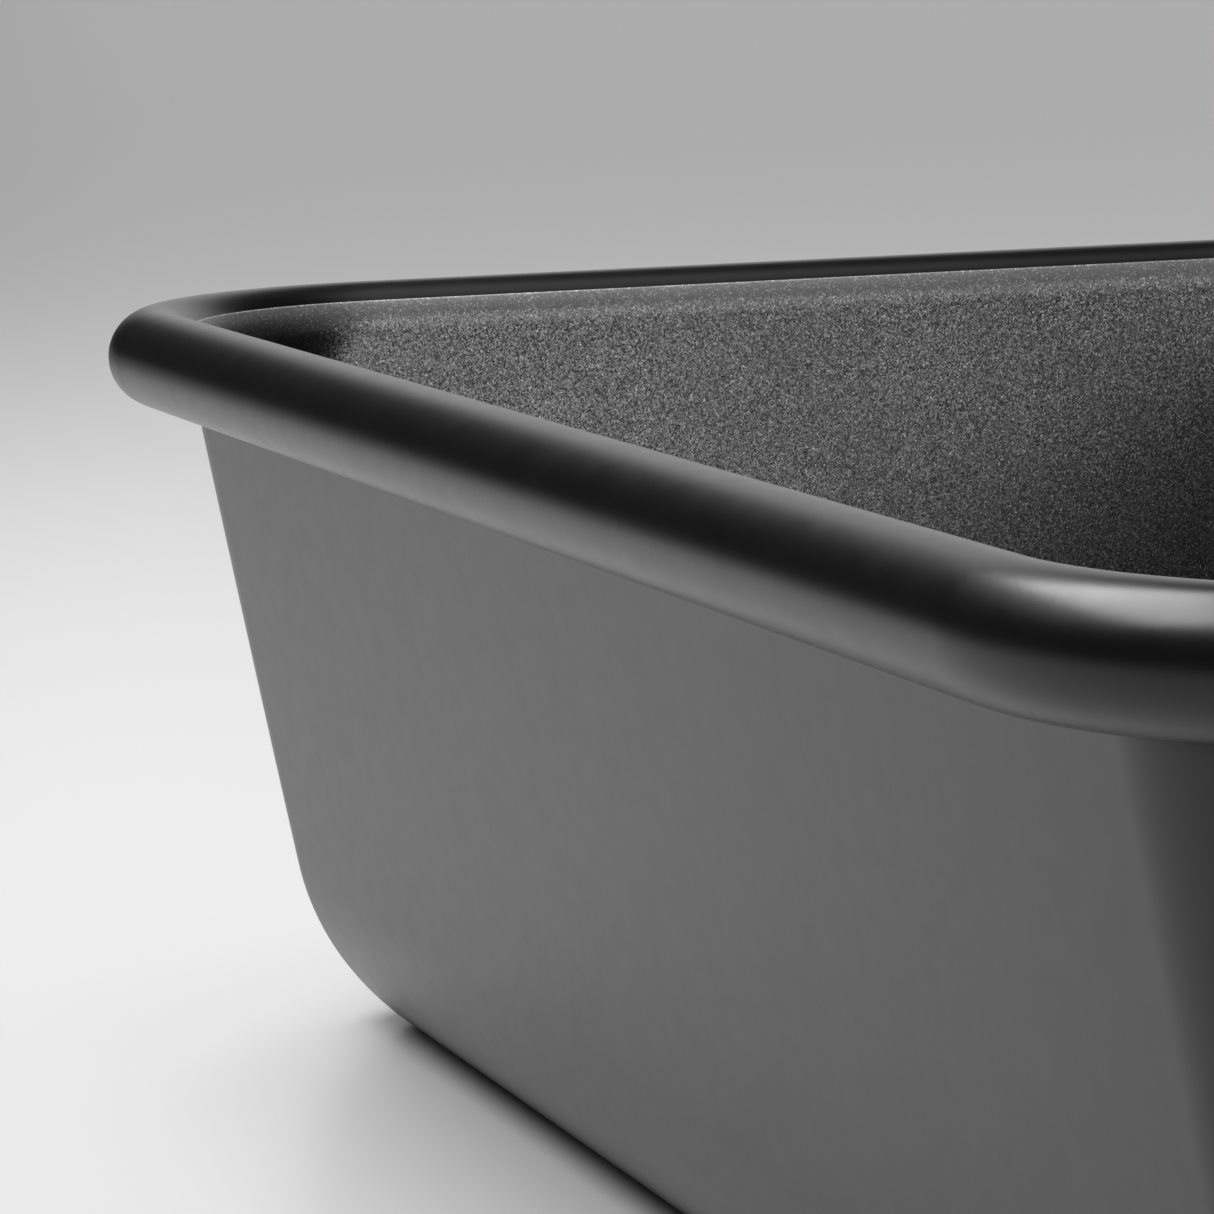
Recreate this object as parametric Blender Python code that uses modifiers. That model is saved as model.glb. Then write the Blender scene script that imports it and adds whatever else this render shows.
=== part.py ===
"""A loaf pan drawn from one steel sheet, with its rim curled round a steel wire and a non-stick lining inside.

Metres, +Z up. The origin is on the floor, under the middle of the pan. X runs along the pan's length.
The sheet is described by its exposed face: the outside of the curled rim, then the inside of the wall and base.
A point of its section is (inset, height), where inset is the distance inwards from the curl's centreline.
"""

import math

import bmesh
import bpy

OBJECT_NAME = "loaf_pan"

# Overall sizes
LENGTH = 0.245  # over the rim
WIDTH = 0.144  # over the rim
HEIGHT = 0.065

# Sheet, curl and wire
SHEET = 0.0008
CURL_RADIUS = 0.00415  # to the outside of the curl
CURL_END = math.radians(298)  # where the curl stops, just short of closing on the wall
WIRE_RADIUS = 0.0030
WIRE_END_GAP = 0.0004  # between the wire's butted ends

# Wall and base
DRAFT = math.radians(10.5)  # how far the walls lean out from vertical
BOTTOM_RADIUS = 0.024  # to the outside of the sheet, from the wall down
BASE_EDGE_RADIUS = 0.004  # the tighter one that ends it, at the edge of the flat base
BASE_EDGE_LEAN = math.radians(48.6)  # how far the surface leans from vertical where one gives way to the other

# Corners, seen from above
RIM_CORNER_RADIUS = 0.026  # at the curl's centreline
BASE_CORNER_RADIUS = 0.004  # the least radius, reached at the flat of the base
CORNER_SWELL = 0.004  # how much tighter than the rim a corner gets just under the curl
SWELL_REACH = 0.0012  # the inset over which it does so
CORNER_TIGHTENING = 0.2  # further loss of radius for each unit of inset
CORNER_EASE = 0.004  # how gently the radius settles to its least value

# Lining
LINING = 0.0001
LINING_GAP = 0.00005  # between the lining and the sheet
LINING_EDGE = math.radians(38)  # where it stops, on the inner shoulder of the curl

# How finely the curves are divided
SHOULDER_STEPS = 2
CURL_STEPS = 16
SWELL_STEPS = 4
WALL_STEPS = 4
BOTTOM_STEPS = 5
BASE_EDGE_STEPS = 4
CORNER_STEPS = 8
LONG_SIDE_STEPS = 3
SHORT_SIDE_STEPS = 2
WIRE_BEVEL_RESOLUTION = 4

# Places that follow from the sizes
CURL_HEIGHT = HEIGHT - CURL_RADIUS  # of the curl's centreline
HALF_LENGTH = LENGTH / 2 - CURL_RADIUS  # from the middle to the curl's centreline
HALF_WIDTH = WIDTH / 2 - CURL_RADIUS
WALL_TOP_INSET = CURL_RADIUS * math.cos(DRAFT)
WALL_TOP_HEIGHT = CURL_HEIGHT + CURL_RADIUS * math.sin(DRAFT)
INNER_BOTTOM_RADIUS = BOTTOM_RADIUS - SHEET
RADIUS_STEP = BOTTOM_RADIUS - BASE_EDGE_RADIUS
BOTTOM_CENTRE_HEIGHT = BASE_EDGE_RADIUS + RADIUS_STEP * math.sin(BASE_EDGE_LEAN)
WALL_FOOT_HEIGHT = BOTTOM_CENTRE_HEIGHT - INNER_BOTTOM_RADIUS * math.sin(DRAFT)
SWELL_FOOT_HEIGHT = WALL_TOP_HEIGHT - SWELL_REACH / math.tan(DRAFT)


def clear_scene():
    for old in list(bpy.data.objects):
        bpy.data.objects.remove(old, do_unlink=True)


def new_collection(name):
    collection = bpy.data.collections.new(name)
    bpy.context.scene.collection.children.link(collection)
    return collection


def new_material(name, color, roughness, metallic):
    material = bpy.data.materials.new(name)
    material.use_nodes = True
    shader = material.node_tree.nodes["Principled BSDF"]
    shader.inputs["Base Color"].default_value = (*color, 1.0)
    shader.inputs["Roughness"].default_value = roughness
    shader.inputs["Metallic"].default_value = metallic
    return material


def between(start, end, steps):
    """Evenly spaced values from start to end, leaving out start."""
    return [start + (end - start) * step / steps for step in range(1, steps + 1)]


def curl_point(angle):
    """Angle 0 points into the pan, and a quarter turn points up."""
    return CURL_RADIUS * math.cos(angle), CURL_HEIGHT + CURL_RADIUS * math.sin(angle)


def wall_point(height):
    return WALL_TOP_INSET + (WALL_TOP_HEIGHT - height) * math.tan(DRAFT), height


def arc_point(centre, radius, lean):
    """A point on the inside of a curve under the wall. Its lean is DRAFT at the wall and a quarter turn at the base."""
    centre_inset, centre_height = centre
    return centre_inset - radius * math.cos(lean), centre_height - radius * math.sin(lean)


def bottom_centre():
    return wall_point(WALL_FOOT_HEIGHT)[0] + INNER_BOTTOM_RADIUS * math.cos(DRAFT), BOTTOM_CENTRE_HEIGHT


def base_edge_centre():
    return bottom_centre()[0] - RADIUS_STEP * math.cos(BASE_EDGE_LEAN), BASE_EDGE_RADIUS


def inside_section():
    """From the lining's edge on the curl, down the wall, to the flat of the base."""
    points = [curl_point(LINING_EDGE)]
    points += [curl_point(angle) for angle in between(LINING_EDGE, DRAFT, SHOULDER_STEPS)]
    points += [wall_point(height) for height in between(WALL_TOP_HEIGHT, SWELL_FOOT_HEIGHT, SWELL_STEPS)]
    points += [wall_point(height) for height in between(SWELL_FOOT_HEIGHT, WALL_FOOT_HEIGHT, WALL_STEPS)]
    for lean in between(DRAFT, BASE_EDGE_LEAN, BOTTOM_STEPS):
        points.append(arc_point(bottom_centre(), INNER_BOTTOM_RADIUS, lean))
    for lean in between(BASE_EDGE_LEAN, math.pi / 2, BASE_EDGE_STEPS):
        points.append(arc_point(base_edge_centre(), BASE_EDGE_RADIUS - SHEET, lean))
    return points


def rim_section():
    """From the curl's free end, round its outside and over its top, to just before the lining's edge."""
    angles = [CURL_END] + between(CURL_END, LINING_EDGE, CURL_STEPS)
    return [curl_point(angle) for angle in angles[:-1]]


def corner_radius(inset):
    """The plan radius at a corner: parallel to the rim on the curl, then tighter all the way to the base."""
    below_curl = max(inset - WALL_TOP_INSET, 0.0)
    swell = min(below_curl / SWELL_REACH, 1.0)
    swell = CORNER_SWELL * swell * swell * (3 - 2 * swell)
    spare = RIM_CORNER_RADIUS - inset - swell - CORNER_TIGHTENING * below_curl - BASE_CORNER_RADIUS
    return BASE_CORNER_RADIUS + CORNER_EASE * math.log1p(math.exp(spare / CORNER_EASE))


def corner_arc(quarter, centre_x, centre_y, radius):
    """The points of one corner. Quarter 0 turns from +X to +Y, and the next ones follow anticlockwise."""
    angles = [math.pi / 2 * (quarter + step / CORNER_STEPS) for step in range(CORNER_STEPS + 1)]
    return [(centre_x + radius * math.cos(angle), centre_y + radius * math.sin(angle)) for angle in angles]


def side_points(start, end, steps):
    """The points that divide a straight side, leaving out its ends."""
    xs = between(start[0], end[0], steps)
    ys = between(start[1], end[1], steps)
    return list(zip(xs, ys))[:-1]


def ring(inset):
    """Points (x, y) round the pan at one inset, anticlockwise from the start of the corner at +X +Y."""
    radius = corner_radius(inset)
    x = HALF_LENGTH - inset - radius
    y = HALF_WIDTH - inset - radius
    centres = ((x, y), (-x, y), (-x, -y), (x, -y))
    arcs = [corner_arc(quarter, *centre, radius) for quarter, centre in enumerate(centres)]
    points = []
    for quarter, arc in enumerate(arcs):
        steps = SHORT_SIDE_STEPS if quarter % 2 else LONG_SIDE_STEPS
        next_arc = arcs[(quarter + 1) % len(arcs)]
        points += arc + side_points(arc[-1], next_arc[0], steps)
    return points


def lofted_object(name, section, material, collection):
    """An open surface through a ring for each point of the section, closed at its foot by the flat of the base."""
    mesh = bpy.data.meshes.new(name)
    shape = bmesh.new()
    rings = [[shape.verts.new((x, y, height)) for x, y in ring(inset)] for inset, height in section]
    for upper, lower in zip(rings, rings[1:]):
        for first in range(len(upper)):
            second = (first + 1) % len(upper)
            shape.faces.new((upper[first], upper[second], lower[second], lower[first]))
    shape.faces.new(rings[-1])
    shape.to_mesh(mesh)
    shape.free()
    mesh.shade_smooth()
    mesh.materials.append(material)
    made = bpy.data.objects.new(name, mesh)
    collection.objects.link(made)
    return made


def thicken(surface, thickness, side):
    """Side -1 puts the thickness behind the surface and 1 in front. Past 1 it stands clear of the surface."""
    solidify = surface.modifiers.new("sheet", "SOLIDIFY")
    solidify.thickness = thickness
    solidify.offset = side
    solidify.use_even_offset = True
    solidify.use_quality_normals = True


def make_shell(collection):
    finish = new_material("satin_finish", (0.008, 0.008, 0.008), 0.28, 0.0)
    shell = lofted_object("pan_shell", rim_section() + inside_section(), finish, collection)
    thicken(shell, SHEET, -1)


def make_lining(collection):
    coating = new_material("nonstick_lining", (0.08, 0.08, 0.08), 0.34, 1.0)
    lining = lofted_object("nonstick_lining", inside_section(), coating, collection)
    thicken(lining, LINING, 1 + 2 * LINING_GAP / LINING)


def wire_path():
    """The curl's centreline, starting and ending at the wire's butted ends, in the middle of the +Y long side."""
    points = ring(0.0)
    first_corner = points[: CORNER_STEPS + 1]
    other_corners = points[CORNER_STEPS + LONG_SIDE_STEPS :]
    start = (-WIRE_END_GAP / 2, HALF_WIDTH)
    end = (WIRE_END_GAP / 2, HALF_WIDTH)
    return [start] + other_corners + first_corner + [end]


def make_rim_wire(collection):
    curve = bpy.data.curves.new("rim_wire", "CURVE")
    curve.dimensions = "3D"
    curve.bevel_depth = WIRE_RADIUS
    curve.bevel_resolution = WIRE_BEVEL_RESOLUTION
    curve.use_fill_caps = True
    path = wire_path()
    spline = curve.splines.new("POLY")
    spline.points.add(len(path) - 1)
    for point, (x, y) in zip(spline.points, path):
        point.co = (x, y, CURL_HEIGHT, 1.0)
    curve.materials.append(new_material("rim_wire", (0.50, 0.50, 0.51), 0.35, 1.0))
    collection.objects.link(bpy.data.objects.new("rim_wire", curve))


def main():
    clear_scene()
    collection = new_collection(OBJECT_NAME)
    make_shell(collection)
    make_lining(collection)
    make_rim_wire(collection)


main()
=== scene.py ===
"""The loaf pan's looks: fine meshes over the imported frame, satin outside and a flaked lining inside.

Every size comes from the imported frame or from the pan's own design values below, in metres, +Z up.
X runs along the pan's length. The sheet is described by its exposed face: the outside of the curled rim,
then the inside of the wall and base. A point of its section is (inset, height), where inset is the distance
inwards from the curl's centreline.
"""

import math

import bpy
from mathutils import Matrix, Vector


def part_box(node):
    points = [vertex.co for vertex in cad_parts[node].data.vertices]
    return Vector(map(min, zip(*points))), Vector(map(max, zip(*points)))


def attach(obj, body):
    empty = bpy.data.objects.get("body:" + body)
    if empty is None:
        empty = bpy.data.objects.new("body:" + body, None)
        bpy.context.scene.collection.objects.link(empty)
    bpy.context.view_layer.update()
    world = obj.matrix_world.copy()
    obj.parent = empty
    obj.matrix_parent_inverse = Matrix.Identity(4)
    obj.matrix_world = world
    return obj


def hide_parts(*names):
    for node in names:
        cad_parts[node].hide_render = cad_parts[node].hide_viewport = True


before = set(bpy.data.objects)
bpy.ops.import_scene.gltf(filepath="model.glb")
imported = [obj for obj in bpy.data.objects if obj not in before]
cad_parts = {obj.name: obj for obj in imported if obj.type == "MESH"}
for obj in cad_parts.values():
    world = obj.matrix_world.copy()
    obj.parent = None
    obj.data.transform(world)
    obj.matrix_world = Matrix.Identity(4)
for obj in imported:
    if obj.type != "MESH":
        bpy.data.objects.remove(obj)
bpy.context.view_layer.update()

# Design values that the frame's boxes don't hold, the same as in the CAD part
SHEET = 0.0008
CURL_END = math.radians(298)  # where the curl stops, just short of closing on the wall
DRAFT = math.radians(10.5)  # how far the walls lean out from vertical
BOTTOM_RADIUS = 0.024  # to the outside of the sheet, from the wall down
BASE_EDGE_RADIUS = 0.004  # the tighter one that ends it, at the edge of the flat base
BASE_EDGE_LEAN = math.radians(48.6)  # from vertical, where one radius gives way to the other
RIM_CORNER_RADIUS = 0.026  # at the curl's centreline
BASE_CORNER_RADIUS = 0.004  # the least radius, reached at the flat of the base
CORNER_SWELL = 0.004  # how much tighter than the rim a corner gets just under the curl
SWELL_REACH = 0.0012  # the inset over which it does so
CORNER_TIGHTENING = 0.2  # further loss of radius for each unit of inset
CORNER_EASE = 0.004  # how gently the radius settles to its least value
LINING_EDGE = math.radians(38)  # where the lining stops, on the inner shoulder of the curl

# The lining's own film, finer than the CAD part's
LINING = 0.00006
LINING_CLEARANCE = 0.00001  # between the lining and the sheet

# Sizes read from the frame
SHELL_LOW, SHELL_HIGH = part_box("pan_shell")
WIRE_LOW, WIRE_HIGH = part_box("rim_wire")
CURL_HEIGHT = (WIRE_LOW.z + WIRE_HIGH.z) / 2  # of the curl's centreline
CURL_RADIUS = SHELL_HIGH.z - CURL_HEIGHT  # to the outside of the curl
HALF_LENGTH = SHELL_HIGH.x - CURL_RADIUS  # from the middle to the curl's centreline
HALF_WIDTH = SHELL_HIGH.y - CURL_RADIUS
WIRE_RADIUS = (WIRE_HIGH.z - WIRE_LOW.z) / 2

# Places that follow
WALL_TOP_INSET = CURL_RADIUS * math.cos(DRAFT)
WALL_TOP_HEIGHT = CURL_HEIGHT + CURL_RADIUS * math.sin(DRAFT)
INNER_BOTTOM_RADIUS = BOTTOM_RADIUS - SHEET
RADIUS_STEP = BOTTOM_RADIUS - BASE_EDGE_RADIUS
BOTTOM_CENTRE_HEIGHT = BASE_EDGE_RADIUS + RADIUS_STEP * math.sin(BASE_EDGE_LEAN)
WALL_FOOT_HEIGHT = BOTTOM_CENTRE_HEIGHT - INNER_BOTTOM_RADIUS * math.sin(DRAFT)
SWELL_FOOT_HEIGHT = WALL_TOP_HEIGHT - SWELL_REACH / math.tan(DRAFT)

# How finely the curves are divided
SHOULDER_STEPS = 12
CURL_STEPS = 72
SWELL_STEPS = 16
WALL_STEPS = 14
BOTTOM_STEPS = 18
BASE_EDGE_STEPS = 12
CORNER_STEPS = 40
LONG_SIDE_STEPS = 10
SHORT_SIDE_STEPS = 6
WIRE_BEVEL_RESOLUTION = 6

# In the looks below, a pair is a property's lowest and highest value, and fineness is in features per metre

# Satin coating
SATIN_IOR = 1.5
SATIN_GREY = (0.0025, 0.0040)
SATIN_GREY_FINENESS = 140
SATIN_ROUGHNESS = (0.28, 0.31)
SATIN_ROUGHNESS_FINENESS = 400
ORANGE_PEEL_DEPTH = 0.000004
ORANGE_PEEL_FINENESS = 1600

# Lining
FLAKE_FINENESS = 7500
FLAKE_SHARE = 0.2  # of the cells that hold a bright flake
FLAKE_GREY = 0.26
BINDER_GREY = 0.13
FLAKE_TILT = 0.15
LINING_ROUGHNESS = (0.27, 0.31)
LINING_ROUGHNESS_FINENESS = 120
SHOULDER_PAINTED_HIGHLIGHT = 3.4  # how many times brighter the coating's colour is painted on the shoulder: a painted highlight for the light that the up-facing shoulder catches
SHOULDER_ROUGHENING = 0.25
SHOULDER_FADE = 0.001  # above and below the top of the wall

# Wire and floor
WIRE_COLOR = (0.5, 0.5, 0.51, 1)
WIRE_ROUGHNESS = (0.3, 0.5)
WIRE_ROUGHNESS_FINENESS = 600
FLOOR_SIZE = 12
FLOOR_COLOR = (0.80, 0.80, 0.80, 1)
FLOOR_ROUGHNESS = 0.34

# The values of a noise texture that become a property's lowest and highest
NOISE_SPREAD = (0.3, 0.7)
NARROW_NOISE_SPREAD = (0.35, 0.65)

# Light by direction from the pan: (azimuths, elevations, radiance)
# Directions are in degrees, where azimuth 0 is +X and 90 is +Y
SOFT_PANELS = (
    ((-190, -110), (32, 62), 0.6),
    ((-110, -50), (46, 62), 0.8),
    ((-20, 26), (-5, 12), 3.9),
    ((-238, -188), (-5, 28), 0.75),
    ((-270, 110), (66, 95), 1.0),
)
PANEL_SOFTNESS = 5
PANEL_SEAM = 100  # azimuths run down from here for a full turn, and the overhead panel reaches past both ends
ROOM_RADIANCE = 0.02
BACKDROP_RADIANCE = 0.5
KEY_PLACE = (-0.22, -0.27, 0.62)
KEY_WIDTH = 0.70
KEY_HEIGHT = 0.28
KEY_POWER = 4.6

# Camera
CAMERA_PLACE = (0.33898, -0.17228, 0.09954)
CAMERA_HEADING = math.radians(161.514)
CAMERA_DIP = math.radians(7.862)
CAMERA_ROLL = math.radians(-1.426)
CAMERA_LENS = 152.08
CAMERA_SENSOR = 36
CAMERA_CLIP_START = 0.01


# ---------------------------------------------------------------- shapes

def between(start, end, steps):
    """Evenly spaced values from start to end, leaving out start."""
    return [start + (end - start) * step / steps for step in range(1, steps + 1)]


def curl_point(angle):
    """Angle 0 points into the pan, and a quarter turn points up."""
    return CURL_RADIUS * math.cos(angle), CURL_HEIGHT + CURL_RADIUS * math.sin(angle)


def wall_point(height):
    return WALL_TOP_INSET + (WALL_TOP_HEIGHT - height) * math.tan(DRAFT), height


def arc_point(centre, radius, lean):
    """A point on the inside of a curve under the wall, where the surface leans this far from vertical."""
    centre_inset, centre_height = centre
    return centre_inset - radius * math.cos(lean), centre_height - radius * math.sin(lean)


def bottom_centre():
    return wall_point(WALL_FOOT_HEIGHT)[0] + INNER_BOTTOM_RADIUS * math.cos(DRAFT), BOTTOM_CENTRE_HEIGHT


def base_edge_centre():
    return bottom_centre()[0] - RADIUS_STEP * math.cos(BASE_EDGE_LEAN), BASE_EDGE_RADIUS


def inside_section():
    """From the lining's edge on the curl, down the wall, to the flat of the base."""
    points = [curl_point(LINING_EDGE)]
    points += [curl_point(angle) for angle in between(LINING_EDGE, DRAFT, SHOULDER_STEPS)]
    points += [wall_point(height) for height in between(WALL_TOP_HEIGHT, SWELL_FOOT_HEIGHT, SWELL_STEPS)]
    points += [wall_point(height) for height in between(SWELL_FOOT_HEIGHT, WALL_FOOT_HEIGHT, WALL_STEPS)]
    for lean in between(DRAFT, BASE_EDGE_LEAN, BOTTOM_STEPS):
        points.append(arc_point(bottom_centre(), INNER_BOTTOM_RADIUS, lean))
    for lean in between(BASE_EDGE_LEAN, math.pi / 2, BASE_EDGE_STEPS):
        points.append(arc_point(base_edge_centre(), BASE_EDGE_RADIUS - SHEET, lean))
    return points


def rim_section():
    """From the curl's free end, round its outside and over its top, to just before the lining's edge."""
    angles = [CURL_END] + between(CURL_END, LINING_EDGE, CURL_STEPS)
    return [curl_point(angle) for angle in angles[:-1]]


def corner_radius(inset):
    """The plan radius at a corner: parallel to the rim on the curl, then tighter all the way to the base."""
    below_curl = max(inset - WALL_TOP_INSET, 0.0)
    swell = min(below_curl / SWELL_REACH, 1.0)
    swell = CORNER_SWELL * swell * swell * (3 - 2 * swell)
    spare = RIM_CORNER_RADIUS - inset - swell - CORNER_TIGHTENING * below_curl - BASE_CORNER_RADIUS
    return BASE_CORNER_RADIUS + CORNER_EASE * math.log1p(math.exp(spare / CORNER_EASE))


def corner_arc(quarter, centre_x, centre_y, radius):
    """The points of one corner. Quarter 0 turns from +X to +Y, and the next ones follow anticlockwise."""
    angles = [math.pi / 2 * (quarter + step / CORNER_STEPS) for step in range(CORNER_STEPS + 1)]
    return [(centre_x + radius * math.cos(angle), centre_y + radius * math.sin(angle)) for angle in angles]


def side_points(start, end, steps):
    """The points that divide a straight side, leaving out its ends."""
    xs = between(start[0], end[0], steps)
    ys = between(start[1], end[1], steps)
    return list(zip(xs, ys))[:-1]


def ring(inset):
    """Points (x, y) round the pan at one inset, anticlockwise from the start of the corner at +X +Y."""
    radius = corner_radius(inset)
    x = HALF_LENGTH - inset - radius
    y = HALF_WIDTH - inset - radius
    centres = ((x, y), (-x, y), (-x, -y), (x, -y))
    arcs = [corner_arc(quarter, *centre, radius) for quarter, centre in enumerate(centres)]
    points = []
    for quarter, arc in enumerate(arcs):
        steps = SHORT_SIDE_STEPS if quarter % 2 else LONG_SIDE_STEPS
        next_arc = arcs[(quarter + 1) % len(arcs)]
        points += arc + side_points(arc[-1], next_arc[0], steps)
    return points


def lofted_object(name, section):
    """An open surface through a ring for each point of the section, closed at its foot by the flat base."""
    rings = [[(x, y, height) for x, y in ring(inset)] for inset, height in section]
    count = len(rings[0])
    foot = (len(rings) - 1) * count
    faces = []
    for upper in range(0, foot, count):
        lower = upper + count
        for first in range(count):
            second = (first + 1) % count
            faces.append((upper + first, upper + second, lower + second, lower + first))
    faces.append(tuple(range(foot, foot + count)))
    mesh = bpy.data.meshes.new(name)
    mesh.from_pydata([point for points in rings for point in points], [], faces)
    mesh.shade_smooth()
    made = bpy.data.objects.new(name, mesh)
    bpy.context.scene.collection.objects.link(made)
    return made


def thicken(surface, thickness, side):
    """Side -1 puts the thickness behind the surface and 1 in front. Past 1 it stands clear of the surface."""
    solidify = surface.modifiers.new("sheet", "SOLIDIFY")
    solidify.thickness = thickness
    solidify.offset = side
    solidify.use_even_offset = True
    solidify.use_quality_normals = True


# ---------------------------------------------------------------- materials

class Nodes:
    """Short names for building the node tree of one material or world."""

    def __init__(self, owner):
        owner.use_nodes = True
        self.owner = owner
        self.tree = owner.node_tree
        self.shader = self.tree.nodes.get("Principled BSDF")
        self.place = self.add("ShaderNodeTexCoord")

    def add(self, kind, **settings):
        node = self.tree.nodes.new(kind)
        for key, value in settings.items():
            setattr(node, key, value)
        return node

    def link(self, source, target):
        self.tree.links.new(source, target)

    def set(self, name, value):
        """The same value all over the surface, on the shader's own socket."""
        self.shader.inputs[name].default_value = value

    def feed(self, source, name):
        """A value that varies over the surface, into the shader."""
        self.link(source, self.shader.inputs[name])

    def noise(self, fineness, detail):
        node = self.add("ShaderNodeTexNoise")
        node.inputs["Scale"].default_value = fineness
        node.inputs["Detail"].default_value = detail
        self.link(self.place.outputs["Object"], node.inputs["Vector"])
        return node.outputs["Fac"]

    def ranged(self, value, old, new):
        """The value with the pair old moved to the pair new, and held between them."""
        node = self.add("ShaderNodeMapRange")
        node.inputs["From Min"].default_value = old[0]
        node.inputs["From Max"].default_value = old[1]
        node.inputs["To Min"].default_value = new[0]
        node.inputs["To Max"].default_value = new[1]
        self.link(value, node.inputs["Value"])
        return node.outputs["Result"]

    def math(self, operation, first, second=0.0):
        """Each of first and second is a number or a socket."""
        node = self.add("ShaderNodeMath", operation=operation)
        for value, socket in zip((first, second), node.inputs):
            if isinstance(value, (int, float)):
                socket.default_value = value
            else:
                self.link(value, socket)
        return node.outputs["Value"]

    def split(self, vector):
        node = self.add("ShaderNodeSeparateXYZ")
        self.link(vector, node.inputs["Vector"])
        return node.outputs

    def window(self, angle, low, high):
        """1 from low to high, in degrees, with soft ends."""
        low = math.radians(low)
        high = math.radians(high)
        soft = math.radians(PANEL_SOFTNESS)
        rise = self.ranged(angle, (low - soft, low + soft), (0.0, 1.0))
        fall = self.ranged(angle, (high - soft, high + soft), (1.0, 0.0))
        return self.math("MULTIPLY", rise, fall)

    def grey(self, value):
        node = self.add("ShaderNodeCombineColor")
        for channel in ("Red", "Green", "Blue"):
            self.link(value, node.inputs[channel])
        return node.outputs["Color"]

    def bump(self, height, depth):
        """A normal from a height of 0 to 1, where 1 stands up by depth, in metres."""
        node = self.add("ShaderNodeBump")
        node.inputs["Strength"].default_value = 1.0
        node.inputs["Distance"].default_value = depth
        self.link(height, node.inputs["Height"])
        return node.outputs["Normal"]

    def tilted(self, random, amount):
        """The surface's normal leant by a random vector whose parts run from 0 to 1."""
        centred = self.add("ShaderNodeVectorMath", operation="SUBTRACT")
        centred.inputs[1].default_value = (0.5, 0.5, 0.5)
        self.link(random, centred.inputs[0])
        scaled = self.add("ShaderNodeVectorMath", operation="SCALE")
        scaled.inputs["Scale"].default_value = amount
        self.link(centred.outputs["Vector"], scaled.inputs[0])
        total = self.add("ShaderNodeVectorMath", operation="ADD")
        self.link(self.add("ShaderNodeNewGeometry").outputs["Normal"], total.inputs[0])
        self.link(scaled.outputs["Vector"], total.inputs[1])
        unit = self.add("ShaderNodeVectorMath", operation="NORMALIZE")
        self.link(total.outputs["Vector"], unit.inputs[0])
        return unit.outputs["Vector"]


def satin_material():
    """A nearly black satin coating: a smooth, faintly mottled sheen with a very fine orange-peel texture."""
    n = Nodes(bpy.data.materials.new("satin_finish"))
    n.set("IOR", SATIN_IOR)
    mottle = n.ranged(n.noise(SATIN_GREY_FINENESS, detail=4), NARROW_NOISE_SPREAD, SATIN_GREY)
    n.feed(n.grey(mottle), "Base Color")
    uneven = n.ranged(n.noise(SATIN_ROUGHNESS_FINENESS, detail=4), NOISE_SPREAD, SATIN_ROUGHNESS)
    n.feed(uneven, "Roughness")
    n.feed(n.bump(n.noise(ORANGE_PEEL_FINENESS, detail=2), ORANGE_PEEL_DEPTH), "Normal")
    return n.owner


def lining_material():
    """A dark semi-gloss coating strewn with fine bright metal flakes, each lying at its own small tilt.

    On the inner shoulder of the curl its colour is painted brighter, as a painted highlight, and it is
    rougher.
    """
    n = Nodes(bpy.data.materials.new("nonstick_lining"))
    n.set("Metallic", 1.0)
    flakes = n.add("ShaderNodeTexVoronoi")
    flakes.inputs["Scale"].default_value = FLAKE_FINENESS
    n.link(n.place.outputs["Object"], flakes.inputs["Vector"])
    chance = n.split(flakes.outputs["Color"])["X"]
    flecked = n.ranged(chance, (1 - FLAKE_SHARE, 1.0), (BINDER_GREY, FLAKE_GREY))
    height = n.split(n.place.outputs["Object"])["Z"]
    fade = (WALL_TOP_HEIGHT - SHOULDER_FADE, WALL_TOP_HEIGHT + SHOULDER_FADE)
    # Painted highlight: above the top of the wall the colour is multiplied up, standing in for the light that
    # the curl's shoulder catches as it turns to face up
    painted_highlight = n.ranged(height, fade, (1.0, SHOULDER_PAINTED_HIGHLIGHT))
    n.feed(n.grey(n.math("MULTIPLY", flecked, painted_highlight)), "Base Color")
    uneven = n.ranged(n.noise(LINING_ROUGHNESS_FINENESS, detail=3), NOISE_SPREAD, LINING_ROUGHNESS)
    roughening = n.ranged(height, fade, (0.0, SHOULDER_ROUGHENING))
    n.feed(n.math("ADD", uneven, roughening), "Roughness")
    n.feed(n.tilted(flakes.outputs["Color"], FLAKE_TILT), "Normal")
    return n.owner


def wire_material():
    """Plain drawn steel."""
    n = Nodes(bpy.data.materials.new("rim_wire"))
    n.set("Base Color", WIRE_COLOR)
    n.set("Metallic", 1.0)
    n.feed(n.ranged(n.noise(WIRE_ROUGHNESS_FINENESS, detail=3), NOISE_SPREAD, WIRE_ROUGHNESS), "Roughness")
    return n.owner


def floor_material():
    n = Nodes(bpy.data.materials.new("pale_floor"))
    n.set("Base Color", FLOOR_COLOR)
    n.set("Roughness", FLOOR_ROUGHNESS)
    return n.owner


# ---------------------------------------------------------------- pieces

def make_body():
    body = lofted_object("pan_body", rim_section() + inside_section())
    thicken(body, SHEET, -1)
    body.data.materials.append(satin_material())
    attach(body, "root")
    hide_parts("pan_shell")


def make_lining():
    lining = lofted_object("lining_skin", inside_section())
    thicken(lining, LINING, 1 + 2 * LINING_CLEARANCE / LINING)
    lining.data.materials.append(lining_material())
    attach(lining, "root")
    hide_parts("nonstick_lining")


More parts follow.
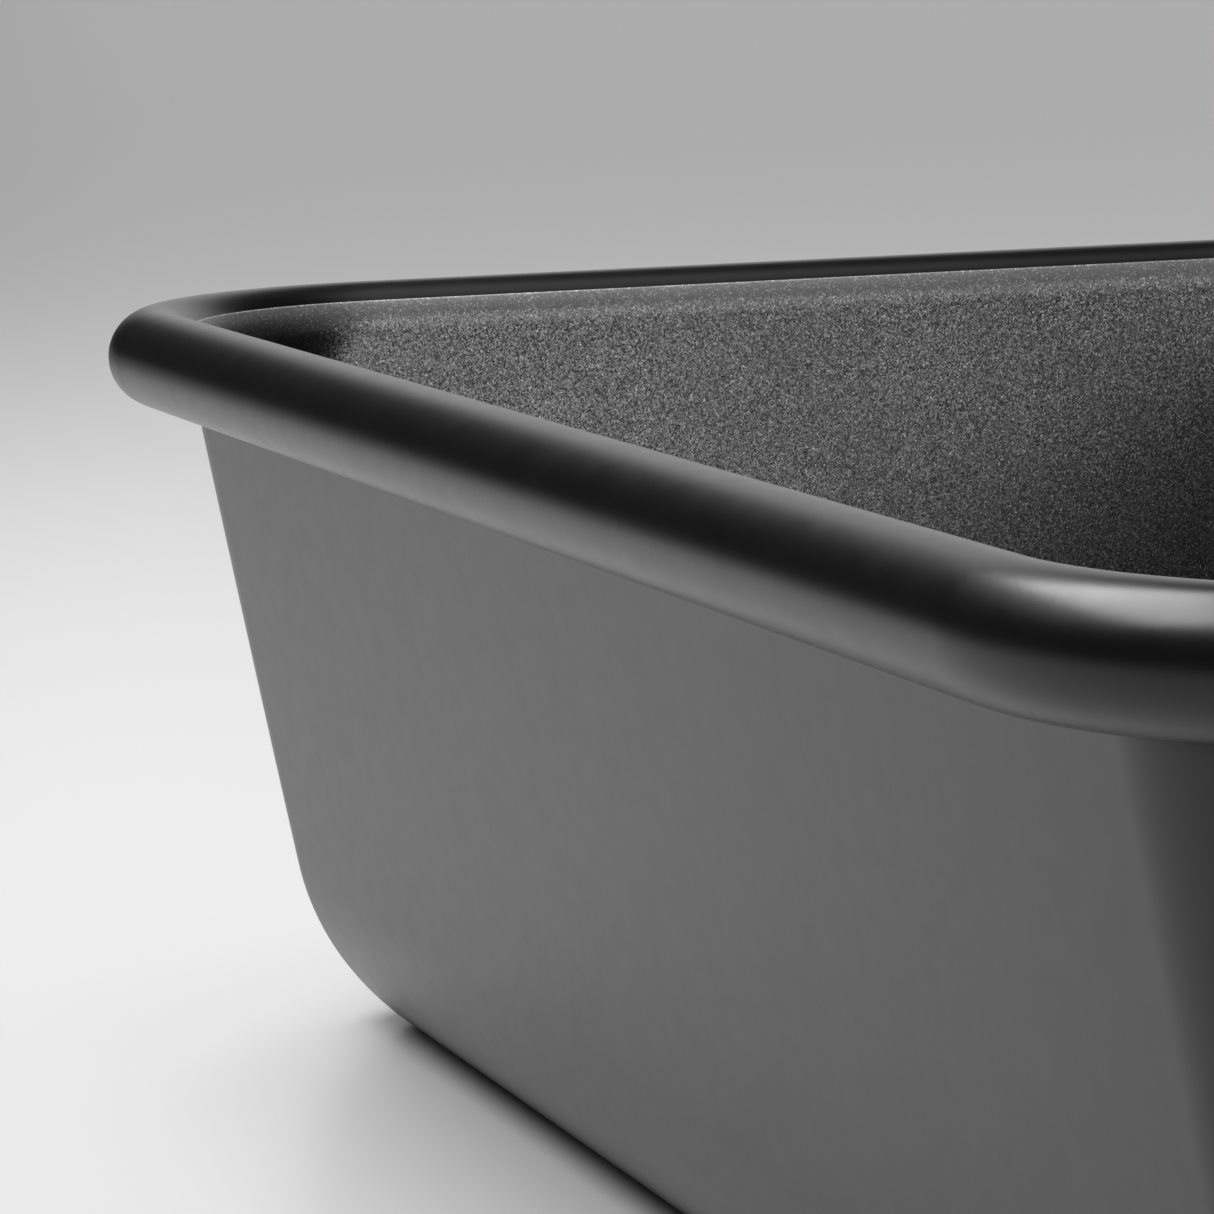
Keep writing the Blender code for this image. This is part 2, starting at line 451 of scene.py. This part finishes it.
def make_wire():
    path = ring(0.0)
    curve = bpy.data.curves.new("wire_core", "CURVE")
    curve.dimensions = "3D"
    curve.bevel_depth = WIRE_RADIUS
    curve.bevel_resolution = WIRE_BEVEL_RESOLUTION
    spline = curve.splines.new("POLY")
    spline.points.add(len(path) - 1)
    spline.use_cyclic_u = True
    for point, (x, y) in zip(spline.points, path):
        point.co = (x, y, CURL_HEIGHT, 1.0)
    wire = bpy.data.objects.new("wire_core", curve)
    bpy.context.scene.collection.objects.link(wire)
    curve.materials.append(wire_material())
    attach(wire, "root")
    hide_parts("rim_wire")


# ---------------------------------------------------------------- studio

def make_floor():
    bpy.ops.mesh.primitive_plane_add(size=FLOOR_SIZE)
    floor = bpy.context.object
    floor.name = "floor"
    floor.data.materials.append(floor_material())


def make_world():
    """Soft panels far off, by direction, over a dim room. The camera itself sees only a plain backdrop."""
    n = Nodes(bpy.data.worlds.new("studio"))
    bpy.context.scene.world = n.owner
    seam_turn = math.radians(180 - PANEL_SEAM)
    turned = n.add("ShaderNodeVectorRotate", rotation_type="Z_AXIS")
    turned.inputs["Angle"].default_value = seam_turn
    n.link(n.place.outputs["Generated"], turned.inputs["Vector"])
    direction = n.split(turned.outputs["Vector"])
    azimuth = n.math("SUBTRACT", n.math("ARCTAN2", direction["Y"], direction["X"]), seam_turn)
    elevation = n.math("ARCSINE", direction["Z"])
    total = ROOM_RADIANCE
    for azimuths, elevations, radiance in SOFT_PANELS:
        panel = n.math("MULTIPLY", n.window(azimuth, *azimuths), n.window(elevation, *elevations))
        total = n.math("ADD", total, n.math("MULTIPLY", panel, radiance))
    chosen = n.add("ShaderNodeMix", data_type="FLOAT")
    n.link(n.add("ShaderNodeLightPath").outputs["Is Camera Ray"], chosen.inputs["Factor"])
    n.link(total, chosen.inputs["A"])
    chosen.inputs["B"].default_value = BACKDROP_RADIANCE
    background = n.tree.nodes["Background"]
    background.inputs["Color"].default_value = (1, 1, 1, 1)
    n.link(chosen.outputs["Result"], background.inputs["Strength"])


def make_key_light():
    """A rectangular softbox that faces the pan, its width level. The camera doesn't see it."""
    lamp = bpy.data.lights.new("key_softbox", "AREA")
    lamp.shape = "RECTANGLE"
    lamp.size = KEY_WIDTH
    lamp.size_y = KEY_HEIGHT
    lamp.energy = KEY_POWER
    softbox = bpy.data.objects.new("key_softbox", lamp)
    softbox.location = KEY_PLACE
    softbox.rotation_mode = "QUATERNION"
    softbox.rotation_quaternion = Vector(KEY_PLACE).to_track_quat("Z", "Y")
    softbox.visible_camera = False
    bpy.context.scene.collection.objects.link(softbox)


def make_camera():
    data = bpy.data.cameras.new("camera")
    data.lens = CAMERA_LENS
    data.sensor_width = CAMERA_SENSOR
    data.clip_start = CAMERA_CLIP_START
    camera = bpy.data.objects.new("camera", data)
    heading = Matrix.Rotation(CAMERA_HEADING - math.pi / 2, 4, "Z")
    dip = Matrix.Rotation(math.pi / 2 - CAMERA_DIP, 4, "X")
    roll = Matrix.Rotation(CAMERA_ROLL, 4, "Z")
    camera.matrix_world = Matrix.Translation(CAMERA_PLACE) @ heading @ dip @ roll
    bpy.context.scene.collection.objects.link(camera)
    bpy.context.scene.camera = camera


make_body()
make_lining()
make_wire()
make_floor()
make_world()
make_key_light()
make_camera()
bpy.context.scene.view_settings.view_transform = "Standard"
